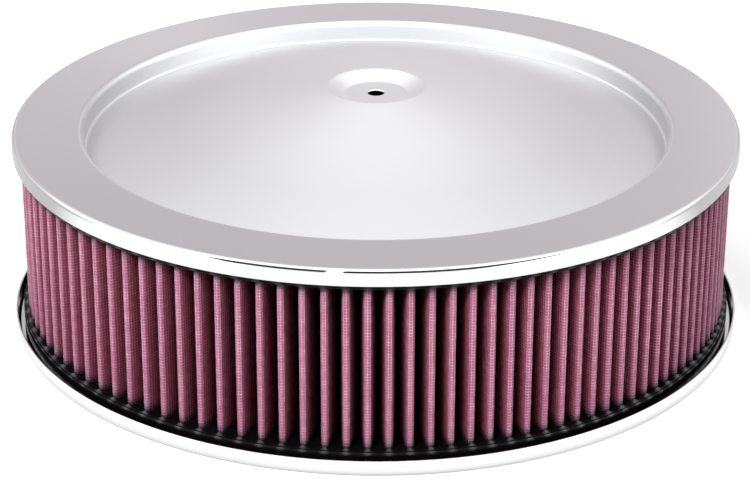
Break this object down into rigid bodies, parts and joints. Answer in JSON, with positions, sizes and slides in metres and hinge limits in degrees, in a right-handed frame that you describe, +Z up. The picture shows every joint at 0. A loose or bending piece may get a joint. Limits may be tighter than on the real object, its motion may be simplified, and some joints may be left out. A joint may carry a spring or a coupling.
{
  "type": "carburetor air cleaner",
  "caption": "Round open-element air cleaner: two pressed steel covers hold a pleated cotton filter ring, with a neck below for a carburetor's air horn.",
  "frame": {"origin": "centre of the base's underside, on the surface it stands on", "axes": "+Z up along the ring's axis, through the stud hole; +X to the right as the picture shows it, +Y away from the viewer"},
  "size_m": [0.3607, 0.3608, 0.1169],
  "materials": {
    "lid_chrome": "bright plate",
    "base_chrome": "bright plate",
    "seal_rubber": "glossy moulded",
    "screen_wire": "coated fine mesh",
    "gauze": "oiled cotton gauze"
  },
  "bodies": {
    "root": {"lid": "lid_chrome", "base_pan": "base_chrome", "top_seal": "seal_rubber", "bottom_seal": "seal_rubber", "outer_screen": "screen_wire", "gauze_media": "gauze", "inner_screen": "screen_wire"}
  },
  "joints": []
}
